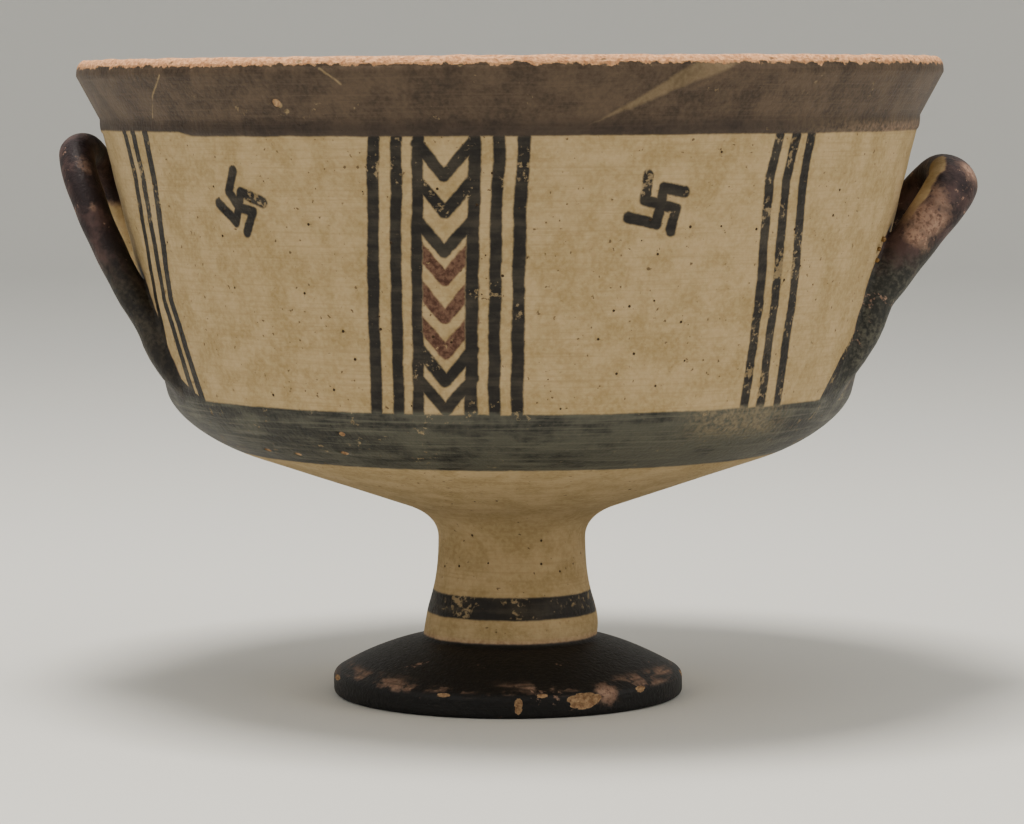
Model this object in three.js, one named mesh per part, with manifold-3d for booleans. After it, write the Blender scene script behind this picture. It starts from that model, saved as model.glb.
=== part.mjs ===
// A painted footed drinking cup of fired clay, thrown on the wheel: a deep bowl with a flared rim, two loop
// handles rolled by hand and set on its sides, a short stem, and a disc foot that is hollow underneath.
// Millimetres, +Z up. The origin is the middle of the ring that the foot rests on; the handles lie along X.
import * as THREE from "three";
import { mergeVertices } from "three/addons/utils/BufferGeometryUtils.js";
import Module from "manifold-3d";

// Heights, stacked from the ground up
const footEdgeHeight = 5.7;
const footSlopeRise = 8.3;
const stemHeight = 35.2;
const undersideRise = 13.1;
const shoulderRise = 16.2;
const wallHeight = 65.8;
const rimHeight = 18.4;

// Outer radii, in the same order
const footRadius = 45;
const stemFootRadius = 22.4;
const stemRadius = 18.9;
const undersideRadius = 28;
const keelRadius = 66.5;
const wallFootRadius = 87.6;
const wallTopRadius = 103.4;
const lipRadius = 110;

// Small forms
const footEdgeRound = 1.5;
const footCollarWidth = 2.2;
const beadStand = 0.8;
const beadHeight = 3.6;
const lipHeight = 4;
const stemTaperLevel = 10.6;
const keelEase = 12;
const shoulderEase = 5;

// Clay thickness, and the hollow inside the foot
const wallThickness = 5.2;
const lipThickness = 4.4;
const floorThickness = 11;
const restingRingWidth = 8;
const cavityHeight = 38;
const cavityThroatRadius = 9.5;
const cavityFlare = 8;
const cavityBevel = 2.8;

// The handles. Lean is in degrees above level, and reach runs from the wall to the middle of the loop's far end.
// rootRise is above the foot of the wall, belly is how far the loop sags below its straight lean, depth is measured
// square to the loop, and twist turns its far end about the lean, in degrees.
const rightHandle = {
  lean: 50.7,
  reach: 32.2,
  rootRise: 27,
  halfSpan: 22,
  rootDepth: 10,
  tipDepth: 14,
  width: 10.4,
  belly: 0,
  twist: -2.5,
};
const leftHandle = {
  lean: 64.4,
  reach: 48.3,
  rootRise: 18.5,
  halfSpan: 22,
  rootDepth: 6.4,
  tipDepth: 9.4,
  width: 9.4,
  belly: 1.2,
  twist: 3.5,
};
const handleSplay = 5;
const loopSquareness = 2.8;
const tailSplay = 4;
const tailCover = 0.8;
const tailHold = 2.4;
const tailShrink = 0.35;

// How finely the round forms are cut
const turns = 64;
const bendStep = 6;
const fewestBendSteps = 2;
const loopSteps = 22;
const tailSteps = 5;
const loopSides = 12;
const weldDistance = 0.02;

const clay = new THREE.MeshStandardMaterial({
  name: "painted_clay",
  color: 0xb9a079,
  roughness: 0.8,
  metalness: 0,
});

// Levels worked out from the stack
const slopeTop = footEdgeHeight + footSlopeRise;
const stemTop = slopeTop + stemHeight;
const keelLevel = stemTop + undersideRise;
const wallFoot = keelLevel + shoulderRise;
const wallTop = wallFoot + wallHeight;
const cupHeight = wallTop + rimHeight;

const wasm = await Module();
wasm.setup();

// A closed three.js geometry as a solid that can be joined and cut.
function solid(geometry) {
  const bare = geometry.clone();
  bare.deleteAttribute("normal");
  bare.deleteAttribute("uv");
  const merged = mergeVertices(bare, 1e-4);
  return new wasm.Manifold(
    new wasm.Mesh({
      numProp: 3,
      vertProperties: merged.attributes.position.array,
      triVerts: new Uint32Array(merged.index.array),
    }),
  );
}

// The joined solid as a geometry again.
function geometryOf(body) {
  const mesh = body.getMesh();
  const geometry = new THREE.BufferGeometry();
  geometry.setAttribute("position", new THREE.BufferAttribute(mesh.vertProperties, 3));
  geometry.setIndex(new THREE.BufferAttribute(mesh.triVerts, 1));
  geometry.computeVertexNormals();
  return geometry;
}

// Points along a profile: straight stretches keep their ends, bends are cut into short steps.
function profilePoints(path) {
  return path.curves.flatMap((curve, i) => {
    const bends = Math.max(fewestBendSteps, Math.round(curve.getLength() / bendStep));
    const points = curve.getPoints(curve.isLineCurve ? 1 : bends);
    return i === 0 ? points : points.slice(1);
  });
}

// A profile of (radius, height) turned round the upright axis.
function turned(path) {
  return solid(new THREE.LatheGeometry(profilePoints(path), turns).rotateX(Math.PI / 2));
}

// Radius of the outer wall at a height.
function wallRadius(height) {
  return THREE.MathUtils.mapLinear(height, wallFoot, wallTop, wallFootRadius, wallTopRadius);
}

// The hollow under the foot: a wide mouth inside the resting ring that narrows up into the stem.
function addFootHollow(path) {
  const mouth = footRadius - footEdgeRound - restingRingWidth;
  const throat = cavityThroatRadius;
  path.moveTo(0, cavityHeight);
  path.quadraticCurveTo(throat, cavityHeight, throat, cavityHeight - throat);
  path.bezierCurveTo(throat, slopeTop, throat + cavityFlare, footEdgeHeight, mouth - cavityBevel, footEdgeRound);
  path.quadraticCurveTo(mouth, footEdgeRound, mouth, 0);
}

// The disc with its rounded upright edge and its slope, up to the small collar round the stem.
function addFoot(path) {
  const inner = footRadius - footEdgeRound;
  const collar = stemFootRadius + footCollarWidth;
  path.lineTo(inner, 0);
  path.quadraticCurveTo(footRadius, 0, footRadius, footEdgeRound);
  path.lineTo(footRadius, footEdgeHeight - footEdgeRound);
  path.quadraticCurveTo(footRadius, footEdgeHeight, inner, footEdgeHeight + footEdgeRound / 2);
  path.quadraticCurveTo((inner + collar) / 2, slopeTop - footSlopeRise / 4, collar, slopeTop);
}

// The stem, drawn in below the bowl, and the cone that spreads from it to the keel.
function addStem(path) {
  const taper = slopeTop + stemTaperLevel;
  const spread = undersideRadius - stemRadius;
  const coneFoot = stemTop - (spread * undersideRise) / (keelRadius - undersideRadius);
  path.lineTo(stemFootRadius, slopeTop + footCollarWidth / 2);
  path.bezierCurveTo(stemFootRadius, taper, stemRadius, taper, stemRadius, stemTop - spread);
  path.quadraticCurveTo(stemRadius, coneFoot, undersideRadius, stemTop);
  path.lineTo(keelRadius, keelLevel);
}

// The rounded shoulder, the straight wall, and the flared rim above its bead.
function addBowlOutside(path) {
  const coneSlope = undersideRise / (keelRadius - undersideRadius);
  const easeLevel = wallFoot - shoulderEase;
  const bead = wallTopRadius + beadStand;
  path.bezierCurveTo(
    keelRadius + keelEase,
    keelLevel + keelEase * coneSlope,
    wallRadius(easeLevel),
    easeLevel,
    wallFootRadius,
    wallFoot,
  );
  path.lineTo(wallTopRadius, wallTop);
  path.quadraticCurveTo(bead, wallTop, bead, wallTop + beadHeight);
  path.lineTo(lipRadius, cupHeight - lipHeight);
  path.quadraticCurveTo(lipRadius, cupHeight, lipRadius - lipThickness / 2, cupHeight);
}

// The inside of the bowl, one clay thickness in from the outside, down to the middle of the floor.
function addBowlInside(path) {
  const floor = cavityHeight + floorThickness;
  const inner = lipRadius - lipThickness;
  const hollowKeel = keelLevel + wallThickness;
  path.quadraticCurveTo(inner, cupHeight, inner, cupHeight - lipHeight);
  path.lineTo(wallTopRadius - wallThickness, wallTop);
  path.lineTo(wallFootRadius - wallThickness, wallFoot);
  path.quadraticCurveTo(keelRadius + keelEase, hollowKeel, keelRadius - wallThickness, hollowKeel);
  path.quadraticCurveTo(undersideRadius, floor, 0, floor);
}

// Bowl, stem and foot as one turned body, still full inside.
function turnedBody() {
  const path = new THREE.Path();
  addFootHollow(path);
  addFoot(path);
  addStem(path);
  addBowlOutside(path);
  path.lineTo(0, cupHeight);
  return turned(path);
}

// The space inside the bowl, which reaches a little above the lip.
function bowlSpace() {
  const lipMiddle = lipRadius - lipThickness / 2;
  const above = cupHeight + lipHeight;
  const path = new THREE.Path();
  path.moveTo(0, above);
  path.lineTo(lipMiddle, above);
  path.lineTo(lipMiddle, cupHeight);
  addBowlInside(path);
  const points = profilePoints(path).reverse();
  return solid(new THREE.LatheGeometry(points, turns).rotateX(Math.PI / 2));
}

// One point of a loop's middle line. Out runs along the lean, and side across it.
function loopPoint(handle, share) {
  const angle = Math.PI * share;
  const bend = 2 / loopSquareness;
  const out = Math.sin(angle) ** bend;
  const side = Math.sign(Math.cos(angle)) * Math.abs(Math.cos(angle)) ** bend;
  const splay = handleSplay * (1 - out) ** 2;
  const lean = THREE.MathUtils.degToRad(handle.lean);
  const twist = THREE.MathUtils.degToRad(handle.twist * out);
  const along = new THREE.Vector3(Math.cos(lean), 0, Math.sin(lean));
  const face = new THREE.Vector3(-Math.sin(lean), 0, Math.cos(lean)).applyAxisAngle(along, -twist);
  const across = new THREE.Vector3(0, 1, 0).applyAxisAngle(along, -twist);
  const point = along.clone().multiplyScalar(handle.reach * out);
  point.addScaledVector(across, side * (handle.halfSpan + splay));
  point.addScaledVector(face, -4 * handle.belly * out * (1 - out));
  return { point, face, depth: THREE.MathUtils.lerp(handle.rootDepth, handle.tipDepth, out), width: handle.width };
}

// One point of the tail in which a strand runs down to the foot of the wall and sinks into it, on the side of sign.
function tailPoint(handle, share, sign) {
  const slope = Math.atan2(wallTopRadius - wallFootRadius, wallHeight);
  const size = 1 - tailShrink * share;
  const sunk = (handle.rootDepth / 2 + tailCover) * share ** tailHold;
  const down = (handle.rootRise * share) / Math.cos(slope);
  const side = sign * (handle.halfSpan + handleSplay + tailSplay * share);
  const bulge = rootDistance(handle, handle.halfSpan) - rootDistance(handle, side);
  const out = -Math.sin(slope) * down - sunk - bulge;
  const point = new THREE.Vector3(out, side, -Math.cos(slope) * down);
  const face = new THREE.Vector3(-Math.cos(slope), 0, Math.sin(slope));
  return { point, face, depth: handle.rootDepth * size, width: handle.width * size };
}

// How far the wall stands from the middle of the cup at a handle's root, that far to the side.
function rootDistance(handle, side) {
  return Math.sqrt(wallRadius(wallFoot + handle.rootRise) ** 2 - side ** 2);
}

// The whole middle line: up one tail, round the loop and down the other tail.
function handleLine(handle) {
  const tails = [1, -1].map((sign) =>
    Array.from({ length: tailSteps }, (_, i) => tailPoint(handle, (tailSteps - i) / tailSteps, sign)),
  );
  const loop = Array.from({ length: loopSteps + 1 }, (_, i) => loopPoint(handle, i / loopSteps));
  return [...tails[0], ...loop, ...tails[1].reverse()];
}

// Rings of the rolled strand along its middle line, each square to the way that the line runs there.
function strandRings(handle) {
  const line = handleLine(handle);
  return line.map(({ point, face, depth, width }, i) => {
    const before = line[Math.max(i - 1, 0)].point;
    const after = line[Math.min(i + 1, line.length - 1)].point;
    const along = after.clone().sub(before).normalize();
    const across = new THREE.Vector3().crossVectors(face, along).normalize();
    const up = new THREE.Vector3().crossVectors(along, across);
    return Array.from({ length: loopSides }, (_, j) => {
      const turn = (2 * Math.PI * j) / loopSides;
      return point
        .clone()
        .addScaledVector(across, (width / 2) * Math.cos(turn))
        .addScaledVector(up, (depth / 2) * Math.sin(turn));
    });
  });
}

// The strand as a closed skin: bands between neighbouring rings, and a flat cap at each sunk end.
function strandGeometry(handle) {
  const rings = strandRings(handle);
  const last = rings.length - 1;
  const corner = (i, j) => i * loopSides + (j % loopSides);
  const index = [];
  for (let i = 0; i < last; i++) {
    for (let j = 0; j < loopSides; j++) {
      index.push(corner(i, j), corner(i, j + 1), corner(i + 1, j));
      index.push(corner(i, j + 1), corner(i + 1, j + 1), corner(i + 1, j));
    }
  }
  for (let j = 1; j < loopSides - 1; j++) {
    index.push(corner(0, 0), corner(0, j + 1), corner(0, j));
    index.push(corner(last, 0), corner(last, j), corner(last, j + 1));
  }
  const geometry = new THREE.BufferGeometry();
  geometry.setAttribute("position", new THREE.Float32BufferAttribute(rings.flat().flatMap((p) => p.toArray()), 3));
  geometry.setIndex(index);
  return geometry;
}

// A handle set against the wall on the +X side, or turned round to the other side.
function handleSolid(handle, turn) {
  const strand = strandGeometry(handle);
  strand.translate(rootDistance(handle, handle.halfSpan), 0, wallFoot + handle.rootRise);
  return solid(strand.rotateZ(turn));
}

// The handles' sunk roots are cut away with the clay inside the bowl.
function cupSolid() {
  const right = handleSolid(rightHandle, 0);
  const left = handleSolid(leftHandle, Math.PI);
  return turnedBody().add(right).add(left).subtract(bowlSpace()).simplify(weldDistance);
}

const kylix = new THREE.Mesh(geometryOf(cupSolid()), clay);
kylix.name = "kylix";

const cup = new THREE.Group();
cup.add(kylix);

export default cup;
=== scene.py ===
# A painted, footed drinking cup of fired clay on a plain pale floor.
# Every size in the sections is in millimetres or degrees; the meshes are made in metres.
import math

import bmesh
import bpy
import numpy as np
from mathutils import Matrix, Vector, noise


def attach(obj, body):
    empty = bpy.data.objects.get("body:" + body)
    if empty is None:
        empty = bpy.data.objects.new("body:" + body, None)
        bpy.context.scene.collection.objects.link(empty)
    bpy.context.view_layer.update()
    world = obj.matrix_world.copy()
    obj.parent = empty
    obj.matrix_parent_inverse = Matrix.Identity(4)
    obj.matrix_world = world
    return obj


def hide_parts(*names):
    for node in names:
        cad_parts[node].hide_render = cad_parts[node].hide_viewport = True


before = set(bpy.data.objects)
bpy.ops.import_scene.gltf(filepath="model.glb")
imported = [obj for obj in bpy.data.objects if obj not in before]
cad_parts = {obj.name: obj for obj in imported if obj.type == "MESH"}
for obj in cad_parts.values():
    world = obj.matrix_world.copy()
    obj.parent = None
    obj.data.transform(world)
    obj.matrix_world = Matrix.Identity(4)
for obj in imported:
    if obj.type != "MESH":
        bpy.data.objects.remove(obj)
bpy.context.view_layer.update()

# The thrown clay
# Bowl, stem and foot were thrown on the wheel and luted into one body, so each is one profile carried
# round the upright axis. The bowl is turned full here, and its inside is turned as a second body to cut away.
MM = 0.001
WELD = 0.001 * MM
FOOT_RADIUS, FOOT_EDGE, SLOPE_TOP = 45.0, 5.7, 14.0
STEM_RADIUS, STEM_TOP, FLARE_RADIUS, FLARE_TOP = 18.9, 40.1, 28.0, 49.2
KEEL_RADIUS, KEEL_LEVEL = 66.5, 62.3
WALL_FOOT_RADIUS, WALL_FOOT = 87.6, 78.5
WALL_TOP_RADIUS, WALL_TOP = 103.4, 144.3
LIP_RADIUS, LIP_LEVEL, CREST_RADIUS, CREST = 110.0, 158.7, 107.8, 162.7
WALL_THICKNESS, LIP_THICKNESS = 5.2, 4.4
TURNS = 304


def bent(points, step):
    """Points along a line or a Bezier bend through its control points, about one step apart."""
    corners = np.array(points, float)
    length = np.linalg.norm(np.diff(corners, axis=0), axis=1).sum()
    share = np.linspace(0, 1, max(2, round(length / step) + 1))[:, None]
    order = len(corners) - 1
    return sum(
        math.comb(order, k) * share**k * (1 - share) ** (order - k) * corner
        for k, corner in enumerate(corners)
    )


def profile(*bends):
    """Bends, each its control points and its step, joined end to end as one profile of (radius, height)."""
    rows = [bent(points, step) for points, step in bends]
    return np.vstack([rows[0]] + [row[1:] for row in rows[1:]])


def wall_radius(height):
    """Radius of the outer wall at a height."""
    share = (height - WALL_FOOT) / (WALL_TOP - WALL_FOOT)
    return WALL_FOOT_RADIUS + share * (WALL_TOP_RADIUS - WALL_FOOT_RADIUS)


outer_profile = profile(
    ([(0, 38), (9.5, 38), (9.5, 28.5)], 2),
    ([(9.5, 28.5), (9.5, 14), (17.5, 5.7), (32.7, 1.5)], 3),
    ([(32.7, 1.5), (35.5, 1.5), (35.5, 0)], 1),
    ([(35.5, 0), (43.5, 0)], 1.6),
    ([(43.5, 0), (FOOT_RADIUS, 0), (FOOT_RADIUS, 1.5)], 0.5),
    ([(FOOT_RADIUS, 1.5), (FOOT_RADIUS, 4.2)], 0.55),
    ([(FOOT_RADIUS, 4.2), (FOOT_RADIUS, FOOT_EDGE), (43.5, 6.45)], 0.5),
    ([(43.5, 6.45), (33.9, 11.9), (24.6, SLOPE_TOP)], 1.3),
    ([(24.6, SLOPE_TOP), (22.6, 14.2), (22.4, 15.4)], 0.7),
    ([(22.4, 15.4), (22.4, 24.6), (STEM_RADIUS, 24.6), (STEM_RADIUS, STEM_TOP)], 1.6),
    ([(STEM_RADIUS, STEM_TOP), (STEM_RADIUS, 46.1), (FLARE_RADIUS, FLARE_TOP)], 1.3),
    ([(FLARE_RADIUS, FLARE_TOP), (KEEL_RADIUS, KEEL_LEVEL)], 2),
    ([(KEEL_RADIUS, KEEL_LEVEL), (78.5, 66.4), (86.4, 73.5), (WALL_FOOT_RADIUS, WALL_FOOT)], 1.4),
    ([(WALL_FOOT_RADIUS, WALL_FOOT), (WALL_TOP_RADIUS, WALL_TOP)], 2),
    ([(WALL_TOP_RADIUS, WALL_TOP), (104.2, 144.5), (104.2, 147.9)], 0.8),
    ([(104.2, 147.9), (LIP_RADIUS, LIP_LEVEL)], 1.2),
    ([(LIP_RADIUS, LIP_LEVEL), (110.1, 162.2), (CREST_RADIUS, CREST)], 0.6),
    ([(CREST_RADIUS, CREST), (0, CREST)], 60),
)
inner_foot, inner_top = WALL_FOOT_RADIUS - WALL_THICKNESS, WALL_TOP_RADIUS - WALL_THICKNESS
inner_lip = LIP_RADIUS - LIP_THICKNESS
hollow_profile = profile(
    ([(0, 49), (28, 49), (61.3, 67.5)], 3.5),
    ([(61.3, 67.5), (78.5, 67.5), (inner_foot, WALL_FOOT)], 2),
    ([(inner_foot, WALL_FOOT), (inner_top, WALL_TOP)], 3.2),
    ([(inner_top, WALL_TOP), (inner_lip, LIP_LEVEL)], 2),
    ([(inner_lip, LIP_LEVEL), (105.7, 162.4), (CREST_RADIUS, CREST)], 0.6),
    ([(CREST_RADIUS, CREST), (CREST_RADIUS, 168)], 3),
    ([(CREST_RADIUS, 168), (0, 168)], 60),
)


def plug(tree, value, socket):
    """Sets a socket, or links it to where its value comes from."""
    if isinstance(value, bpy.types.NodeSocket):
        tree.links.new(value, socket)
    elif value is not None:
        socket.default_value = value


def node_in(tree, kind, feeds=None, **settings):
    """A new node with its settings made, and its inputs fed by name or place."""
    node = tree.nodes.new(kind)
    for name, value in settings.items():
        setattr(node, name, value)
    for name, value in (feeds or {}).items():
        plug(tree, value, node.inputs[name])
    return node


def calc(tree, operation, *values, clamp=False):
    """One step of arithmetic on numbers."""
    feeds = dict(enumerate(values))
    return node_in(tree, "ShaderNodeMath", feeds, operation=operation, use_clamp=clamp).outputs[0]


def aim(tree, operation, *values, scale=None, out="Vector"):
    """One step of arithmetic on vectors."""
    feeds = dict(enumerate(values)) | ({} if scale is None else {"Scale": scale})
    return node_in(tree, "ShaderNodeVectorMath", feeds, operation=operation).outputs[out]


def parted(tree, vector):
    """The three numbers of a vector."""
    return node_in(tree, "ShaderNodeSeparateXYZ", {0: vector}).outputs


def new_group(name, inputs, outputs, kind="ShaderNodeTree"):
    """A node group with named inputs and outputs: the tree, its inputs and its outputs."""
    tree = bpy.data.node_groups.new(name, kind)
    for side, labels in (("INPUT", inputs), ("OUTPUT", outputs)):
        for label, sort in labels.items():
            tree.interface.new_socket(name=label, in_out=side, socket_type="NodeSocket" + sort)
    return tree, node_in(tree, "NodeGroupInput").outputs, node_in(tree, "NodeGroupOutput").inputs


def shape_group(name, **sizes):
    """A Geometry Nodes group with named sizes and a finish."""
    inputs = dict(Geometry="Geometry", **sizes, Finish="Material")
    return new_group(name, inputs, dict(Geometry="Geometry"), "GeometryNodeTree")


def stored(tree, name, kind="FLOAT_VECTOR"):
    """A value that the points of the shape carry."""
    return node_in(tree, "GeometryNodeInputNamedAttribute", {"Name": name}, data_type=kind).outputs[0]


def realized(tree, shape):
    """The shape with its instances made real."""
    return node_in(tree, "GeometryNodeRealizeInstances", {0: shape}).outputs[0]


def finished(tree, shape, given, result):
    """Ends a Geometry Nodes group with its material."""
    node = node_in(tree, "GeometryNodeSetMaterial", {"Geometry": shape, "Material": given["Finish"]})
    plug(tree, node.outputs[0], result[0])
    return tree


def carried_section_group():
    """Geometry nodes that carry one section along one path, for everything thrown or rolled."""
    sizes = {"Path Points": "Int", "Section Points": "Int", "Weld": "Float"}
    tree, given, result = shape_group("Carried section", **sizes)
    path_points, section_points = given["Path Points"], given["Section Points"]
    grid = node_in(tree, "GeometryNodeMeshGrid", {"Vertices X": path_points, "Vertices Y": section_points})
    index = node_in(tree, "GeometryNodeInputIndex").outputs[0]
    along = calc(tree, "FLOOR", calc(tree, "DIVIDE", index, section_points))
    around = calc(tree, "SUBTRACT", index, calc(tree, "MULTIPLY", along, section_points))
    place = node_in(tree, "GeometryNodeInputPosition").outputs[0]

    def read(value, at):
        feeds = {"Geometry": given["Geometry"], "Value": value, "Index": at}
        kinds = dict(data_type="FLOAT_VECTOR", domain="POINT")
        return node_in(tree, "GeometryNodeSampleIndex", feeds, **kinds).outputs[0]

    x, y, _ = parted(tree, read(place, calc(tree, "ADD", around, path_points)))
    across = aim(tree, "SCALE", read(stored(tree, "across"), along), scale=x)
    upward = aim(tree, "SCALE", read(stored(tree, "upward"), along), scale=y)
    spot = aim(tree, "ADD", read(place, along), aim(tree, "ADD", across, upward))
    shape = node_in(tree, "GeometryNodeSetPosition", {"Geometry": grid.outputs["Mesh"], "Position": spot})
    feeds = {"Geometry": shape.outputs[0], "Distance": given["Weld"]}
    welded = node_in(tree, "GeometryNodeMergeByDistance", feeds)
    return finished(tree, realized(tree, welded.outputs[0]), given, result)


def set_inputs(modifier, **values):
    """Sets a Geometry Nodes modifier's inputs by their plain names."""
    for item in modifier.node_group.interface.items_tree:
        key = item.name.replace(" ", "_")
        if item.in_out == "INPUT" and key in values:
            modifier[item.identifier] = values[key]


def made_plain(piece):
    """Turns what the piece's modifiers make into its own plain mesh."""
    graph = bpy.context.evaluated_depsgraph_get()
    mesh = bpy.data.meshes.new_from_object(piece.evaluated_get(graph))
    piece.modifiers.clear()
    piece.data = mesh
    return piece


def facing_out(piece):
    """Closes the piece's seams and turns its faces outwards."""
    work = bmesh.new()
    work.from_mesh(piece.data)
    bmesh.ops.remove_doubles(work, verts=work.verts, dist=2 * WELD)
    bmesh.ops.dissolve_degenerate(work, dist=WELD, edges=work.edges)
    bmesh.ops.recalc_face_normals(work, faces=work.faces)
    work.to_mesh(piece.data)
    work.free()
    return piece


carried_section = carried_section_group()
painted_clay = bpy.data.materials.new("Painted clay")


def points_with(name, points, layers, group, **values):
    """Loose points that carry layers of values, turned into a shape by a Geometry Nodes group."""
    mesh = bpy.data.meshes.new(name)
    mesh.from_pydata(points, [], [])
    for label, rows in layers.items():
        rows = np.array(rows, np.float32)
        kind, key = ("FLOAT_VECTOR", "vector") if rows.ndim == 2 else ("FLOAT", "value")
        mesh.attributes.new(label, kind, "POINT").data.foreach_set(key, rows.ravel())
    piece = bpy.data.objects.new(name, mesh)
    bpy.context.scene.collection.objects.link(piece)
    shaped = piece.modifiers.new("Shape", "NODES")
    shaped.node_group = group
    set_inputs(shaped, Finish=painted_clay, **values)
    return made_plain(piece)


def carried(name, path, across, upward, section):
    """A closed body: the section (pairs in mm) carried along the path with its two directions."""
    flat = np.column_stack([np.array(section, float), np.zeros(len(section))])
    points = np.vstack([np.array(path, float) * MM, flat * MM]).tolist()
    filler = np.zeros((len(section), 3))
    layers = dict(across=np.vstack([across, filler]), upward=np.vstack([upward, filler]))
    counts = dict(Path_Points=len(path), Section_Points=len(section))
    return facing_out(points_with(name, points, layers, carried_section, Weld=WELD, **counts))


def turned(name, outline):
    """A profile of (radius, height) carried round the upright axis."""
    angle = np.linspace(0, 2 * math.pi, TURNS + 1)
    across = np.column_stack([np.cos(angle), np.sin(angle), np.zeros(TURNS + 1)])
    across[-1] = across[0]
    upward = np.tile([0.0, 0.0, 1.0], (TURNS + 1, 1))
    return carried(name, np.zeros((TURNS + 1, 3)), across, upward, outline)


cup = turned("kylix_clay", outer_profile)
bowl_hollow = turned("bowl_hollow", hollow_profile)

# The two handles
# Each handle is one hand-rolled strand bent into an upswept loop. Its ends were pressed on to the wall and
# smeared down it as two tails before firing. The one at +X is thicker and lower, as the photograph shows.
HALF_SPAN = 22.0
SPLAY, TAIL_SPLAY = 5.0, 4.0
LOOP_BEND = 2 / 2.8
# The heel is the clay left under the strand where it was pressed on to the wall.
HEEL_AT_ROOT = 0.6
TAIL_SHRINK, TAIL_SPREAD, TAIL_DEPTH, TAIL_BEND = 0.42, 0.15, 0.8, 2.9
LOOP_RINGS, TAIL_RINGS, STRAND_SIDES = 76, 20, 36
right_strand = dict(
    lean=51.0, reach=34.0, root_rise=27.0, root_depth=10.2, tip_depth=14.0,
    width=10.6, belly=-0.3, twist=-2.5, heel=1.9,
)
left_strand = dict(
    lean=64.6, reach=47.4, root_rise=18.5, root_depth=6.6, tip_depth=9.6,
    width=9.6, belly=1.0, twist=3.5, heel=2.4,
)


def root_distance(strand, side):
    """How far the wall stands from the axis at the strand's root, that far to the side."""
    return math.sqrt(wall_radius(WALL_FOOT + strand["root_rise"]) ** 2 - side**2)


def turned_about(vector, axis, angle):
    """The vector turned about the axis."""
    return (
        vector * math.cos(angle)
        + np.cross(axis, vector) * math.sin(angle)
        + axis * np.dot(axis, vector) * (1 - math.cos(angle))
    )


def loop_point(strand, share):
    """Middle point, facing direction, depth and width of the loop at a share of its length."""
    angle = math.pi * share
    out = max(math.sin(angle), 0.0) ** LOOP_BEND
    side = math.copysign(abs(math.cos(angle)) ** LOOP_BEND, math.cos(angle))
    lean = math.radians(strand["lean"])
    twist = -math.radians(strand["twist"]) * out
    along = np.array([math.cos(lean), 0.0, math.sin(lean)])
    face = turned_about(np.array([-math.sin(lean), 0.0, math.cos(lean)]), along, twist)
    across = turned_about(np.array([0.0, 1.0, 0.0]), along, twist)
    place = along * strand["reach"] * out
    place = place + across * side * (HALF_SPAN + SPLAY * (1 - out) ** 2)
    place = place - face * 4 * strand["belly"] * out * (1 - out)
    depth = strand["root_depth"] + (strand["tip_depth"] - strand["root_depth"]) * out
    heel = strand["heel"] * HEEL_AT_ROOT * (1 - out) ** 2
    return place - face * heel / 2, face, depth + heel, strand["width"]


def tail_point(strand, share, sign):
    """The same for the tail that runs down to the foot of the wall and sinks into it."""
    slope = math.atan2(WALL_TOP_RADIUS - WALL_FOOT_RADIUS, WALL_TOP - WALL_FOOT)
    depth = strand["root_depth"] * (1 - TAIL_SHRINK * share)
    width = strand["width"] * (1 + TAIL_SPREAD * share)
    sunk = (strand["root_depth"] / 2 + TAIL_DEPTH) * share**TAIL_BEND
    down = strand["root_rise"] * share / math.cos(slope)
    side = sign * (HALF_SPAN + SPLAY + TAIL_SPLAY * share)
    bulge = root_distance(strand, HALF_SPAN) - root_distance(strand, side)
    place = np.array([-math.sin(slope) * down - sunk - bulge, side, -math.cos(slope) * down])
    face = np.array([-math.cos(slope), 0.0, math.sin(slope)])
    heel = HEEL_AT_ROOT + (1 - HEEL_AT_ROOT) * math.sin(math.pi * share)
    heel *= strand["heel"] * (1 - share**4)
    return place - face * heel / 2, face, depth + heel, width


def strand_line(strand, quarter):
    """The strand's rings from one tail's end to the other: places and half-size directions."""
    rings = [tail_point(strand, 1 - i / TAIL_RINGS, 1) for i in range(TAIL_RINGS)]
    rings += [loop_point(strand, i / LOOP_RINGS) for i in range(LOOP_RINGS + 1)]
    rings += [tail_point(strand, (i + 1) / TAIL_RINGS, -1) for i in range(TAIL_RINGS)]
    rings = [rings[0]] + rings + [rings[-1]]
    places = np.array([ring[0] for ring in rings])
    before = np.vstack([places[:1], places[:-1]])
    after = np.vstack([places[1:], places[-1:]])
    along = after - before
    along[0], along[-1] = along[2], along[-3]
    along[1], along[-2] = along[2], along[-3]
    along /= np.linalg.norm(along, axis=1)[:, None]
    across = np.cross([ring[1] for ring in rings], along)
    across /= np.linalg.norm(across, axis=1)[:, None]
    upward = np.cross(along, across)
    wide = np.array([ring[3] for ring in rings]) / 2
    deep = np.array([ring[2] for ring in rings]) / 2
    wide[[0, -1]] = deep[[0, -1]] = 0
    places += [root_distance(strand, HALF_SPAN), 0, WALL_FOOT + strand["root_rise"]]
    turn = np.diag([quarter, quarter, 1.0])
    return places @ turn, (across * wide[:, None]) @ turn, (upward * deep[:, None]) @ turn


def joined(body, other, operation):
    """Joins another body to this one, or cuts it away, and removes the other."""
    step = body.modifiers.new("Join", "BOOLEAN")
    step.operation, step.solver, step.object = operation, "MANIFOLD", other
    made_plain(body)
    bpy.data.objects.remove(other)


# The section has a radius of 1, so that the two directions alone carry the strand's size.
round_section = [
    (math.cos(2 * math.pi * j / STRAND_SIDES), math.sin(2 * math.pi * j / STRAND_SIDES))
    for j in range(STRAND_SIDES)
]
round_section.append(round_section[0])
handle_lines = [strand_line(right_strand, 1), strand_line(left_strand, -1)]
for name, line in zip(("right_handle", "left_handle"), handle_lines):
    joined(cup, carried(name, *line, round_section), "UNION")
joined(cup, bowl_hollow, "DIFFERENCE")
facing_out(cup)


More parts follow.
